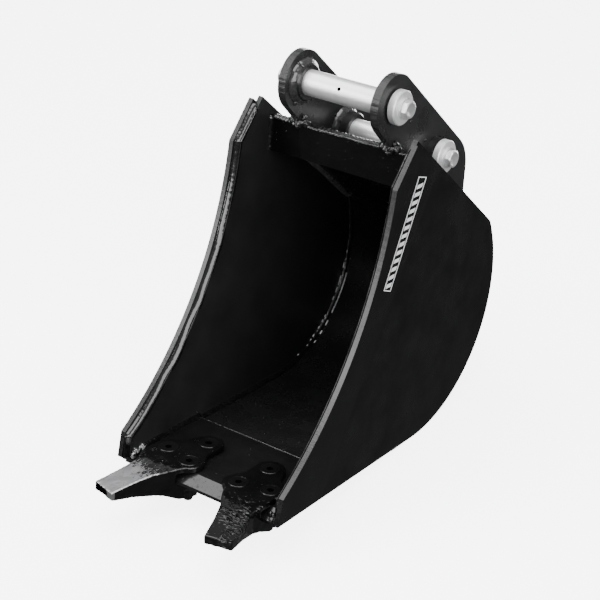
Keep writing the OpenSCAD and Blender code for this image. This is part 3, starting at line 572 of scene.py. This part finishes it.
def make_welds():
    for side, word in ((-1, "left"), (1, "right")):
        bm = bmesh.new()
        pts, out = side_path(side)
        add_bead(bm, pts, out, 5.6, 2.5, 1.1, 30.0, 0.01, seed=3 + side, lumpy=0.14)
        add_bead(bm, [at(side, p, CUTTER_T + 4.6) for p in
                      (CUTTER_TOP.lerp(KINK, t) - OVERHANG * Vector((HEAD_DIR[1], -HEAD_DIR[0]))
                       for t in (0.18, 0.4, 0.7, 0.96))],
                 Vector((-side * 0.7, HEAD_DIR[1], -HEAD_DIR[0])).normalized(), 2.2, 1.5, 1.0, 16.0, 0.03,
                 seed=6 + side, lumpy=0.3)
        add_piece(word + "_cutter_bead", bm, WELD_SMOOTH,
                  replaces=(word + "_cutter_weld",))

        bm = bmesh.new()
        path = hollow_path(-228.0, BEAM_REAR + 2)
        pts = [at(side, p, CUTTER_T + SIDE_T) for p, w in path]
        out = [Vector((-side, w[0], w[1])).normalized() for p, w in path]
        add_bead(bm, pts, out, 3.9, 2.1, 1.6, 6.0, 0.07, seed=8 + side)
        add_piece(word + "_hollow_bead", bm, WELD_SMOOTH,
                  replaces=(word + "_heel_weld",))

        bm = bmesh.new()
        # The bead at the bend takes the lighter weld paint: a painted highlight along the bend.
        add_bead(bm, pts[-10:], out[-10:], 5.2, 2.7, 1.6, 7.0, 0.12, seed=18 + side)
        add_piece(word + "_corner_bead", bm, WELD_PAINTED_HIGHLIGHT)

        bm = bmesh.new()
        end = BEND + BEND_R * UP
        pts = [at(side, p, CUTTER_T + SIDE_T) for p in
               (Vector((BEAM_Y + 5, sheet_z(BEAM_Y + 5))), Vector((80, sheet_z(80))), end)]
        add_bead(bm, pts, Vector((-side, UP[0], UP[1])).normalized(), 4.4, 2.2, 1.8, 3.4, 0.2, seed=14 + side)
        add_piece(word + "_top_bead", bm, WELD)

        bm = bmesh.new()
        heel_start = -math.pi / 2 - 0.02
        heel_end = math.radians(-22)
        pts = [at(side, p, CUTTER_T + SIDE_T - 0.5) for p in
               arc(HEEL, HEEL_R - 1.2, heel_start, heel_end, 50)]
        pts = [mm(side * (SIDE_IN + 0.6), -90, FLOOR + 1.2), mm(side * (SIDE_IN + 0.6), 0, FLOOR + 1.2)] + pts
        out = [Vector((0, 0, -1))] * 2
        out += [Vector((0, p[0] - HEEL[0], p[1] - HEEL[1])).normalized()
                for p in arc(HEEL, HEEL_R, heel_start, heel_end, 50)]
        add_bead(bm, pts, out, 3.8, 1.7, 0.0, 5.2, 0.10, seed=31 + side)
        add_piece(word + "_outer_bead", bm, WELD)

    bm = bmesh.new()
    for side in (-1, 1):
        x = side * (SIDE_IN + 0.2)
        pts = [mm(x, BEAM_Y, BEAM_LOW - 1), mm(x, BEAM_Y, sheet_z(BEAM_Y) - 1)]
        add_bead(bm, pts, Vector((-side, -1, 0)).normalized(), 3.6, 2.0, 1.8, 7.0, 0.07, seed=41 + side)
        pts = [mm(x, BEAM_Y, BEAM_LOW), mm(x, BEAM_REAR, BEAM_LOW)]
        add_bead(bm, pts, Vector((-side, 0, -1)).normalized(), 3.4, 1.8, 1.4, 3.8, 0.26, seed=44 + side)
    add_piece("beam_end_beads", bm, WELD_SMOOTH, replaces=("beam_welds",))

    bm = bmesh.new()
    y = BEAM_Y + 2.4
    pts = [mm(x, y + 0.6 * math.sin(x * 0.21), sheet_z(y)) for x in range(-102, 103, 6)]
    add_bead(bm, pts, Vector((0, -0.35, 0.94)).normalized(), 4.2, 2.0, 0.3, 4.6, 0.34, seed=51)
    y = BEAM_Y + 6.8
    pts = [mm(x, y, sheet_z(y)) for x in range(-101, 102, 6)]
    add_bead(bm, pts, Vector((0, UP[0], UP[1])), 3.9, 1.8, 0.4, 4.2, 0.3, seed=57)
    add_piece("beam_top_bead", bm, WELD)

    bm = bmesh.new()
    add_bead(bm, [mm(-SIDE_IN + 1, LIP_REAR + 1.2, FLOOR + SHEET_T + 1.2),
                  mm(SIDE_IN - 1, LIP_REAR + 1.2, FLOOR + SHEET_T + 1.2)],
             Vector((0, 0.75, 1)).normalized(), 2.6, 1.3, 1.5, 3.4, 0.28, seed=61)
    add_piece("floor_seam_bead", bm, WELD_SMOOTH, replaces=("floor_seam_weld",))

    bm = bmesh.new()
    for side in (-1, 1):
        for x, out in ((EAR_IN, -1), (EAR_OUT, 1)):
            pts = [mm(side * x, y, sheet_z(y)) for y in (BEAM_Y + 1, 60, 120, EAR_REAR - 4)]
            w = Vector((side * out, UP[0], UP[1])).normalized()
            add_bead(bm, pts, w, 4.6, 2.6, 2.0, 3.8, 0.24, seed=71 + side * 3 + out)
        for k, (dx, dy, dz, r, e) in enumerate((
                (-9.0, 0.5, 1.4, 5.2, 0.8), (-3.5, -2.0, -0.6, 4.8, 0.9), (3.4, -2.0, -0.2, 5.0, 0.9),
                (9.0, 0.5, 1.0, 5.4, 0.8), (-6.0, 0.5, 6.6, 4.0, 1.1), (6.0, 0.6, 6.2, 4.0, 1.1),
                (0.0, -2.8, -3.2, 4.2, 0.7), (0.4, -2.6, 4.6, 3.4, 1.1))):
            c = mm(side * 62.5 + dx, BEAM_Y + dy, sheet_z(BEAM_Y) + dz)
            n = Vector((dx * 0.1, -0.9, 0.7))
            add_lump(bm, c, n, r, e, seed=5 * k + side, rough=0.45, rings=7, sides=14)
    add_piece("ear_foot_beads", bm, WELD, replaces=("ear_welds",))

    bm = bmesh.new()
    for side in (-1, 1):
        for k, p in enumerate((Vector((0, 0)), LINK)):
            start = 2.1 + k
            steps = 96
            pts = ring_x(side * EAR_IN, p, BOSS_R, steps, start)
            angles = [start + FULL_TURN * i / steps for i in range(steps + 1)]
            out = [Vector((-side, math.cos(a), math.sin(a))).normalized() for a in angles]
            add_bead(bm, pts, out, 6.0, 3.0, 2.2, 9.0, 0.06, seed=81 + side * 2 + k * 5, ends=2.5, sides=16,
                     lumpy=0.4)
            for j in range(3):
                a = start + 2.1 * j + 0.4 * noise.noise(Vector((j * 1.3, side, k)))
                c = mm(side * (EAR_IN - 1.2), p[0] + 27.2 * math.cos(a), p[1] + 27.2 * math.sin(a))
                add_lump(bm, c, Vector((-side, 0.4 * math.cos(a), 0.4 * math.sin(a))),
                         2.0 + (j * 7 % 4) * 0.5, 0.6, seed=j + 9 * side, rough=0.4)
    add_piece("boss_beads", bm, WELD_BOSS, replaces=("boss_welds",))

    bm = bmesh.new()
    pts = [mm(-SIDE_IN + 1.0, y, LIP_TOP + 0.8 + 0.4 * math.sin(y)) for y in (-234, -228, -221, -215, -210)]
    add_bead(bm, pts, Vector((1, 0, 0.9)).normalized(), 3.8, 2.2, 1.5, 3.0, 0.3, seed=91, lumpy=1.6)
    add_bead(bm, [mm(-SIDE_IN + 2.0, -235, LIP_TOP - 6), mm(-SIDE_IN + 2.0, -231, LIP_TOP + 1)],
             Vector((1, -0.6, 0.3)).normalized(), 3.4, 2.0, 1.4, 3.0, 0.3, seed=93, lumpy=1.6)
    add_piece("left_bare_bead", bm, WELD_WORN)

    bm = bmesh.new()
    # Short pale dashes along the left heel bead: painted glints standing in for highlights on the weld
    # ripples.
    spans = [(-15, -18, 4), (-22, -27, 4), (-28, -31, 4), (-33, -35, 4), (-43, -44.5, 4), (-46, -47.5, 4),
             (-50, -51.5, 4), (-55, -56.5, 4), (-58, -59, 4), (-69, -70, 4), (-20, -41, 0), (-45, -48, 0),
             (-51, -53, 0), (-57, -58.5, 0)]
    for a0, a1, up in spans:
        line = arc(HEEL, HEEL_R - SHEET_T - (4.4 if up else 0.3), math.radians(a0), math.radians(a1),
                   max(3, int(abs(a1 - a0))))
        pts = [at(-1, p, CUTTER_T + SIDE_T + (0.2 if up else 4.3)) for p in line]
        out = [Vector((1, 0, 0)) if up else Vector((0, *(HEEL - p).normalized())) for p in line]
        add_bead(bm, pts, out, 1.0, 0.7, 0.0, 3.0, 0.1, seed=int(-a0), ends=1.5, lumpy=0.6)
    add_piece("left_heel_glints", bm, PAINTED_GLINT_STEEL)

    bm = bmesh.new()
    lumps = ((0.5, -229, -1.5, 4.4), (-4.5, -230.5, -3.4, 4.2), (-9.0, -230, -3.0, 3.6),
             (0.5, -233, -6.0, 4.0), (-5.0, -234, -7.2, 3.4))
    for k, (dx, y, dz, r) in enumerate(lumps):
        add_lump(bm, mm(SIDE_IN + dx, y, LIP_TOP + dz), Vector((-0.4, -0.8, 0.5)), r, 0.8,
                 seed=3 * k + 40, rough=0.5, rings=7, sides=14)
    add_piece("lip_end_lumps", bm, WELD)


def make_spatter():
    """Tiny weld drops that stuck to the steel before it was painted."""
    random.seed(12)
    bm = bmesh.new()
    path = hollow_path(-200.0, 30.0)
    for i in range(60):
        side = -1 if i % 3 else 1
        k = random.randrange(0, len(path) - 1)
        p = path[k][0].lerp(path[k + 1][0], random.random())
        w = path[k][1]
        off = 4 + 20 * random.random() ** 2
        r = 0.35 + 0.5 * random.random()
        if i % 2:
            q = p + w * off
            add_lump(bm, at(side, q, CUTTER_T + SIDE_T), Vector((-side, 0, 0)), r, 0.8, i, 0.2, 3, 7)
        else:
            q = mm(side * (on_side(p[0], p[1], CUTTER_T + SIDE_T) - off), p[0], p[1])
            add_lump(bm, q, Vector((0, w[0], w[1])), r, 0.8, i, 0.2, 3, 7)
    for i in range(90):
        y = -210 + 190 * random.random()
        z = LIP_TOP if y < LIP_REAR else FLOOR + SHEET_T
        x = (random.random() * 2 - 1) * 95
        if z == LIP_TOP and abs(x) > 8:
            continue
        add_lump(bm, mm(x, y, z), Vector((0, 0, 1)), 0.4 + 0.5 * random.random(), 0.8, i, 0.2, 3, 7)
    for i in range(34):
        x = (random.random() * 2 - 1) * 98
        z = sheet_z(BEAM_Y) - 4 - 36 * random.random() ** 1.6
        add_lump(bm, mm(x, BEAM_Y, z), Vector((0, -1, 0)), 0.35 + 0.5 * random.random(), 0.8, i, 0.2, 3, 7)
    for i in range(60):
        a = random.random() * 6.28
        d = 28 + 7 * random.random()
        side = random.choice((-1, 1))
        q = mm(side * EAR_IN, d * math.cos(a), d * math.sin(a))
        if sheet_z(q[1] / MM) < q[2] / MM - 2 and d < 34:
            add_lump(bm, q, Vector((-side, 0, 0)), 0.4 + 0.4 * random.random(), 0.8, i, 0.2, 3, 7)
    add_piece("weld_spatter", bm, WELD)


make_welds()
make_spatter()


# Cast teeth and their bolts
def soft_copy(node, name, material, voxel, smooth, shape):
    """A remeshed copy of a cast CAD node with soft edges, shaped vertex by vertex."""
    o = bpy.data.objects.new(name + "_raw", NODES[node].data.copy())
    bpy.context.scene.collection.objects.link(o)
    r = o.modifiers.new("remesh", "REMESH")
    r.mode = "VOXEL"
    r.voxel_size = voxel * MM
    s = o.modifiers.new("smooth", "SMOOTH")
    s.factor = 0.5
    s.iterations = smooth
    bpy.context.view_layer.update()
    me = bpy.data.meshes.new_from_object(o.evaluated_get(bpy.context.evaluated_depsgraph_get()))
    bpy.data.objects.remove(o)
    me.name = name
    me.update()
    moved = [shape(v.co, v.normal) for v in me.vertices]
    for v, (shift, finish) in zip(me.vertices, moved):
        v.co = v.co + shift
    me.materials.clear()
    me.materials.append(material)
    # Slot 1 is the matte shade paint, painted shade in recesses; slot 2 is bare worn steel.
    me.materials.append(PAINT_PAINTED_SHADE)
    me.materials.append(BARE_TIP)
    for p in me.polygons:
        p.use_smooth = True
        p.material_index = max(moved[i][1] for i in p.vertices)
    o = bpy.data.objects.new(name, me)
    bpy.context.scene.collection.objects.link(o)
    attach(o, "shell")
    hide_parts(node)
    return o


def tooth_shape(side, pocket):
    f, o = tooth_axes(side)
    root = tooth_root(side)

    def shape(co, normal):
        p = co / MM
        r = Vector((p[0], p[1], 0)) - root
        along, across, z = r.dot(f), r.dot(o), p[2]
        rough = 0.22 * noise.noise(p * 0.11) + 0.07 * noise.noise(p * 0.6)
        move = normal * rough
        deep = 0
        for bf, bo in BOLT_SPOTS:
            d = math.hypot(along - bf, across - bo)
            if 7.6 < d < 14.0 and z > TOOTH_TOP - 7.0 and normal[2] > 0.1:
                move = Vector((0, 0, TOOTH_TOP - 0.12 - z))
        if pocket and along > 139:
            u = (across - pocket[0]) / pocket[1]
            w = (z - pocket[4]) / pocket[2]
            d = abs(u) ** 5 + abs(w) ** 5
            edge = TIP_TOP - 1.3 - 0.35 * max(0.0, 4 - across)
            if d < 1:
                move -= f * pocket[3] * (1 - d) ** 0.3
            # Faces inside the pocket get slot 1, the painted shade; the worn tip below the top gets slot 2,
            # bare steel.
            if across > -3.5 and z < edge:
                deep = 1
            elif along > 141 and z < TIP_TOP - 0.8:
                deep = 2
        if along > 138:
            nick = noise.noise(Vector((across * 0.16, z * 0.1, side * 4.0)))
            move -= f * max(0.0, nick) * 1.4
        return move * MM, deep

    return shape


TIP_TOP = FLOOR + 7.2
BOLT_SPOTS = ((0.0, 0.0), (43.0, 19.5), (43.0, -19.5))


def hex_at(apothem, a):
    b = (a + math.pi / 6) % (math.pi / 3) - math.pi / 6
    return apothem / math.cos(b)


def tooth_bolt(bm, side, f, o, turn, n=60):
    """Countersunk head with a hexagon socket, its shank and the thread under the nut."""
    top = TOOTH_TOP + 0.55
    low = FLOOR - LOWER_JAW_T - WASHER_T - NUT_H - BOLT_TAIL
    rows = [(5.9, -6.6), (11.2, -1.7), (11.9, -0.95), (12.0, -0.5), (11.8, -0.15), (11.3, 0.0), (10.7, -0.12),
            (10.2, -0.3), (7.2, -0.28)]
    rings = []
    for r, z in rows:
        rings.append([(r, z + top) for _ in range(n)])
    for apothem, z in ((3.7, -0.28), (3.3, -0.4), (3.2, -5.4), (1.0, -5.8)):
        rings.append([(hex_at(apothem, FULL_TURN * i / n), z + top) for i in range(n)])
    thread = []
    z = FLOOR - 12.0
    while z > low + 1.2:
        thread += [(5.95, z), (5.3, z - 0.85)]
        z -= 1.75
    for r, zz in [(5.9, top - 12)] + thread + [(4.9, low)]:
        rings.insert(0, [(r, zz) for _ in range(n)])
    last = None
    for row, ring in enumerate(rings):
        vs = []
        for i, (r, zz) in enumerate(ring):
            a = FULL_TURN * i / n + turn
            vs.append(bm.verts.new(on_tooth(side, f + r * math.cos(a), o + r * math.sin(a), zz)))
        if last:
            for i in range(n):
                k = (i + 1) % n
                face = bm.faces.new((last[i], last[k], vs[k], vs[i]))
                # The faces inside the hexagon socket take the matte shade paint: painted shade in the socket.
                face.material_index = 1 if row >= len(rings) - 3 else 0
        else:
            bm.faces.new(vs)
        last = vs
    bm.faces.new(list(reversed(last))).material_index = 1


soft_copy("left_tooth", "left_cast_tooth", TOOTH_LEFT, 1.0, 3,
          tooth_shape(-1, (7.6, 10.8, 4.4, 11.0, FLOOR + 1.2)))
soft_copy("right_tooth", "right_cast_tooth", TOOTH_RIGHT, 1.0, 3, tooth_shape(1, None))
for side, word in ((-1, "left"), (1, "right")):
    bm = bmesh.new()
    for k, (f, o) in enumerate(BOLT_SPOTS):
        tooth_bolt(bm, side, f, o, 0.3 + k * 0.9 + side * 0.4)
    bolts = add_piece(word + "_socket_bolts", bm, PAINT_BOLT,
                      replaces=(word + "_tooth_bolts",))
    # Second slot: the matte shade paint, painted shade inside the sockets.
    bolts.data.materials.append(PAINT_PAINTED_SHADE)


# Hexagon bolts of the pin caps, and the plugs in the ears
def hex_bolt(bm, side, p, x, turn, n=48):
    """Hexagon head with a chamfered top and a washer face, on a cap at x."""
    apothem = 9.5
    section = ((6.0, -8.0, 0), (6.0, 0.0, 0), (9.2, 0.02, 0), (9.25, 0.55, 0), (9.5, 0.6, 1), (9.5, 5.6, 1),
               (9.5, 6.3, 2), (9.3, 7.1, 2), (8.4, 7.5, 0), (7.0, 7.42, 0), (6.4, 7.1, 0), (2.0, 7.05, 0))
    rings = []
    for r, h, hexed in section:
        ring = []
        for i in range(n):
            a = FULL_TURN * i / n
            rr, hh = r, h
            if hexed:
                rr = hex_at(apothem, a)
                if hexed == 2:
                    rr = min(rr, 10.2 if h < 6.5 else 9.45)
            ring.append((rr, a + turn, hh))
        rings.append(ring)
    last = None
    for ring in rings:
        vs = [bm.verts.new(mm(side * (x + h), p[0] + r * math.cos(a), p[1] + r * math.sin(a)))
              for r, a, h in ring]
        if last:
            for i in range(n):
                k = (i + 1) % n
                bm.faces.new((last[i], last[k], vs[k], vs[i]))
        else:
            bm.faces.new(vs)
        last = vs
    bm.faces.new(list(reversed(last)))


for word, p, x, turns in (("dipper", Vector((0, 0)), DIPPER_CAP_X + CAP_T + WASHER_T, (0.62, 0.2)),
                          ("link", LINK, LINK_CAP_X + CAP_T + WASHER_T, (0.30, 0.9))):
    bm = bmesh.new()
    hex_bolt(bm, 1, p, x, turns[0])
    hex_bolt(bm, -1, p, x, turns[1])
    o = add_piece(word + "_hex_bolts", bm, BOLT_STEEL, body=word + "_pin_set", smooth=True,
                  replaces=(word + "_cap_bolts",))
    w = o.modifiers.new("sharp", "EDGE_SPLIT")
    w.split_angle = math.radians(28)

bm = bmesh.new()
PIN_LINE = LINK.normalized()
PLUG_SHARES = (0.37, 0.76)
PLUG_RISE = 3.0
for share in PLUG_SHARES:
    q = LINK * share + PLUG_RISE * Vector((-PIN_LINE[1], PIN_LINE[0]))
    for side in (-1, 1):
        for face, out in ((EAR_IN, -1), (EAR_OUT, 1)):
            add_lump(bm, mm(side * (face - out * 0.9), q[0], q[1]), Vector((side * out, 0, 0)),
                     2.25, 0.75, 3, 0.15, 5, 14)
add_piece("ear_plugs", bm, PAINT_BOLT)


def grease_hole_shadow_cup(n=24):
    """A dark cup in the lubrication hole of the dipper pin: painted shadow inside the hole."""
    axis = Vector((0, -math.cos(GREASE_ANGLE), math.sin(GREASE_ANGLE)))
    across = Vector((1, 0, 0))
    third = axis.cross(across)
    bm = bmesh.new()
    last = None
    for r, high in ((2.17, 9.0), (2.17, 14.6), (1.95, 14.5), (1.85, 12.0), (0.6, 11.4)):
        vs = [bm.verts.new((axis * high + (across * math.cos(a) + third * math.sin(a)) * r) * MM)
              for a in (FULL_TURN * i / n for i in range(n))]
        if last:
            for i in range(n):
                k = (i + 1) % n
                bm.faces.new((last[i], last[k], vs[k], vs[i]))
        else:
            bm.faces.new(list(reversed(vs)))
        last = vs
    bm.faces.new(last)
    add_piece("grease_hole_shadow_cup", bm, PAINT_PAINTED_SHADE, body="dipper_pin_set")


grease_hole_shadow_cup()


# CAD nodes keep their shape and get eased edges and a finish
def finish_node(name, material, edge=0.8, segments=3, angle=30.0):
    o = NODES[name]
    o.data.materials.clear()
    o.data.materials.append(material)
    if edge:
        b = o.modifiers.new("eased", "BEVEL")
        b.width = edge * MM
        b.segments = segments
        b.limit_method = "ANGLE"
        b.angle_limit = math.radians(angle)
    for p in o.data.polygons:
        p.use_smooth = True
    crease = o.modifiers.new("crease", "EDGE_SPLIT")
    crease.split_angle = math.radians(38)
    w = o.modifiers.new("flats", "WEIGHTED_NORMAL")
    w.keep_sharp = True


# The left plate takes the lighter paint: painted fill light on its inner face.
finish_node("left_side_plate", PAINT_LEFT_PAINTED_LIGHT, 0.9, 2)
finish_node("right_side_plate", PAINT_SIDE, 0.9, 2)
for n in ("left_side_cutter", "right_side_cutter"):
    finish_node(n, PAINT_STRIP, 1.1, 2)
# The rolled sheet takes the lighter paint: painted fill light inside the bucket.
finish_node("rolled_sheet", PAINT_INSIDE_PAINTED_LIGHT, 0.5)
finish_node("lip", PAINT_LIP, 0.5)
finish_node("top_beam", PAINT_BEAM, 1.4)
for n in ("left_ear", "right_ear"):
    finish_node(n, PAINT_EAR, 0.8)
for n in ("left_dipper_boss", "right_dipper_boss", "left_link_boss", "right_link_boss"):
    finish_node(n, PAINT_BOSS, 0.6)
for n in ("dipper_pin", "link_pin"):
    finish_node(n, PIN_STEEL, 0.3)
for n in ("left_dipper_cap", "right_dipper_cap", "left_link_cap", "right_link_cap"):
    finish_node(n, CAP_STEEL, 0.2)
for n in ("dipper_cap_washers", "link_cap_washers"):
    finish_node(n, BOLT_STEEL, 0.3)
for n in ("dipper_seals", "link_seals"):
    finish_node(n, RUBBER, 0.2)
for n in ("tooth_washers", "tooth_nuts"):
    finish_node(n, PAINT_BOSS, 0.5)


# A plain white marking band on the right side cutter
def make_band():
    m, t, s = new_material("white_vinyl")
    v = place(t)
    cloud = noise_tex(t, v, 90.0, 4.0, 0.6)
    t.links.new(ramp(t, cloud, [(0.3, grey(0.93)), (0.7, grey(0.98))]), s.inputs["Base Color"])
    t.links.new(to_range(t, cloud, 0.3, 0.42, 0.3, 0.7), s.inputs["Roughness"])
    t.links.new(bump(t, cloud, 0.1, 0.0003), s.inputs["Normal"])

    low_front, low_rear = Vector((-69.5, -185.0)), Vector((-55.0, -190.8))
    top_rear, top_front = Vector((0.5, -70.4)), Vector((-16.5, -65.2))

    def spot(u, v, lift):
        """A point of the band: u from its low to its top end, v from front to rear."""
        a = low_front.lerp(top_front, u)
        b = low_rear.lerp(top_rear, u)
        p = a.lerp(b, v)
        return mm(on_side(p[0], p[1], -lift), p[0], p[1])

    bm = bmesh.new()

    def tile(corners, steps=6):
        """A thin tile given by its corners (u, v): two ends, each from front to rear."""
        rows = []
        for i in range(steps + 1):
            k = i / steps
            front = (corners[0][0] + (corners[3][0] - corners[0][0]) * k,
                     corners[0][1] + (corners[3][1] - corners[0][1]) * k)
            rear = (corners[1][0] + (corners[2][0] - corners[1][0]) * k,
                    corners[1][1] + (corners[2][1] - corners[1][1]) * k)
            rows.append([bm.verts.new(spot(*front, 0.1)), bm.verts.new(spot(*rear, 0.1)),
                         bm.verts.new(spot(*rear, -0.3)), bm.verts.new(spot(*front, -0.3))])
        for a, b in zip(rows, rows[1:]):
            for j in range(4):
                k = (j + 1) % 4
                bm.faces.new((a[j], a[k], b[k], b[j]))
        bm.faces.new(rows[0])
        bm.faces.new(list(reversed(rows[-1])))

    edge, side = 0.009, 0.1
    tile([(0, 0), (0, side), (1, side), (1, 0)], 24)
    tile([(0, 1 - side), (0, 1), (1, 1), (1, 1 - side)], 24)
    tile([(0, side), (0, 1 - side), (edge, 1 - side), (edge, side)], 1)
    tile([(1 - edge, side), (1 - edge, 1 - side), (1, 1 - side), (1, side)], 1)
    count = 13
    for i in range(count):
        a = 0.02 + i * 0.94 / count
        b = a + 0.036
        lean = 0.026
        tile([(a, 0.2), (a + lean, 0.8), (b + lean, 0.8), (b, 0.2)], 3)
    add_piece("marking_band", bm, m, smooth=False)


make_band()


# Floor, light and camera
REST = math.radians(8.0)
AIM = mm(0, -60, -200)


def make_floor():
    bm = bmesh.new()
    run = Vector((0, math.cos(REST), math.sin(REST)))
    foot = mm(0, NOSE_Y + 64.5, FLOOR - 30.8)
    side = Vector((1, 0, 0))
    half = 14
    corners = [foot + side * a * half + run * b * half for a, b in ((-1, -1), (1, -1), (1, 1), (-1, 1))]
    bm.faces.new([bm.verts.new(p) for p in corners])
    me = bpy.data.meshes.new("studio_floor")
    bm.to_mesh(me)
    bm.free()
    o = bpy.data.objects.new("studio_floor", me)
    bpy.context.scene.collection.objects.link(o)
    m, t, s = new_material("floor_paper")
    v = place(t)
    soft = noise_tex(t, v, 2.0, 2.0, 0.5)
    t.links.new(ramp(t, soft, [(0.3, grey(0.86)), (0.7, grey(0.88))]), s.inputs["Base Color"])
    s.inputs["Roughness"].default_value = 0.9
    s.inputs["Specular IOR Level"].default_value = 0.0
    s.inputs["Emission Color"].default_value = (1, 1, 1, 1)
    s.inputs["Emission Strength"].default_value = 5.0
    me.materials.append(m)
    o.visible_glossy = False
    o.visible_diffuse = False
    o.visible_shadow = False


def softbox(name, direction, distance, across, w, h, radiance):
    """A rectangular light seen from the object along direction, its width along across."""
    light = bpy.data.lights.new(name, "AREA")
    light.shape = "RECTANGLE"
    light.size, light.size_y = w, h
    light.energy = radiance * math.pi * w * h
    o = bpy.data.objects.new(name, light)
    bpy.context.scene.collection.objects.link(o)
    z = Vector(direction).normalized()
    x = Vector(across)
    x = (x - x.dot(z) * z).normalized()
    y = z.cross(x)
    place_at = AIM + z * distance
    turn = Matrix.Identity(4)
    for k in range(3):
        turn[k][0], turn[k][1], turn[k][2], turn[k][3] = x[k], y[k], z[k], place_at[k]
    o.matrix_world = turn
    o.visible_camera = False


make_floor()
softbox("key_front", (-0.52, -0.74, 0.42), 2.7, (0.8, -0.6, 0), 1.1, 1.9, 8.2)
softbox("top_wide", (-0.08, -0.14, 0.98), 2.4, (1, 0, 0), 3.4, 2.2, 5.0)
softbox("low_front", (-0.55, -0.82, -0.06), 2.7, (0.8, -0.6, 0), 0.9, 0.55, 3.5)
softbox("right_side", (0.85, -0.42, 0.32), 2.6, (0.45, 0.9, 0), 1.7, 1.7, 5.5)
softbox("mouth_fill", (0.62, -0.77, 0.12), 2.8, (0.77, 0.62, 0), 0.8, 0.6, 7.0)
softbox("front_strip", (0.05, -0.98, 0.16), 2.8, (1, 0, 0), 0.3, 0.35, 16.0)
softbox("back_rim", (-0.2, 0.97, -0.02), 2.6, (1, 0, 0), 2.4, 0.9, 9.0)

world = bpy.data.worlds.new("studio")
bpy.context.scene.world = world
world.use_nodes = True
wt = world.node_tree
wt.nodes.clear()
w_out = wt.nodes.new("ShaderNodeOutputWorld")
w_bg = wt.nodes.new("ShaderNodeBackground")
w_co = wt.nodes.new("ShaderNodeTexCoord")
w_up = axis_of(wt, w_co.outputs["Generated"], "Z")
SKY = ((0.0, 0.34), (0.16, 0.22), (0.24, 0.12), (0.32, 0.08), (0.5, 0.2), (0.6, 0.35), (1.0, 0.45))
w_col = ramp(wt, to_range(wt, w_up, 0.0, 1.0, -1.0, 1.0), [(at_share, grey(v)) for at_share, v in SKY])
wt.links.new(w_col, w_bg.inputs["Color"])
w_bg.inputs["Strength"].default_value = 1.0
wt.links.new(w_bg.outputs[0], w_out.inputs[0])

CAMERA_AT = (1065.5, -1599.1, 618.8)
FOCAL = 107.806
cam_data = bpy.data.cameras.new("camera")
cam = bpy.data.objects.new("camera", cam_data)
bpy.context.scene.collection.objects.link(cam)
cam_data.sensor_fit = "HORIZONTAL"
cam_data.sensor_width = 36.0
cam_data.lens = FOCAL
cam_data.clip_start = 0.05
cam_data.clip_end = 60.0
right = Vector((0.8055, 0.5900, 0.0557))
view = Vector((-0.5187, 0.7474, -0.4151)).normalized()
right = (right - right.dot(view) * view).normalized()
above = right.cross(view)
pose = Matrix.Identity(4)
for i in range(3):
    pose[i][0], pose[i][1], pose[i][2] = right[i], above[i], -view[i]
    pose[i][3] = CAMERA_AT[i] * MM
cam.matrix_world = pose
bpy.context.scene.camera = cam
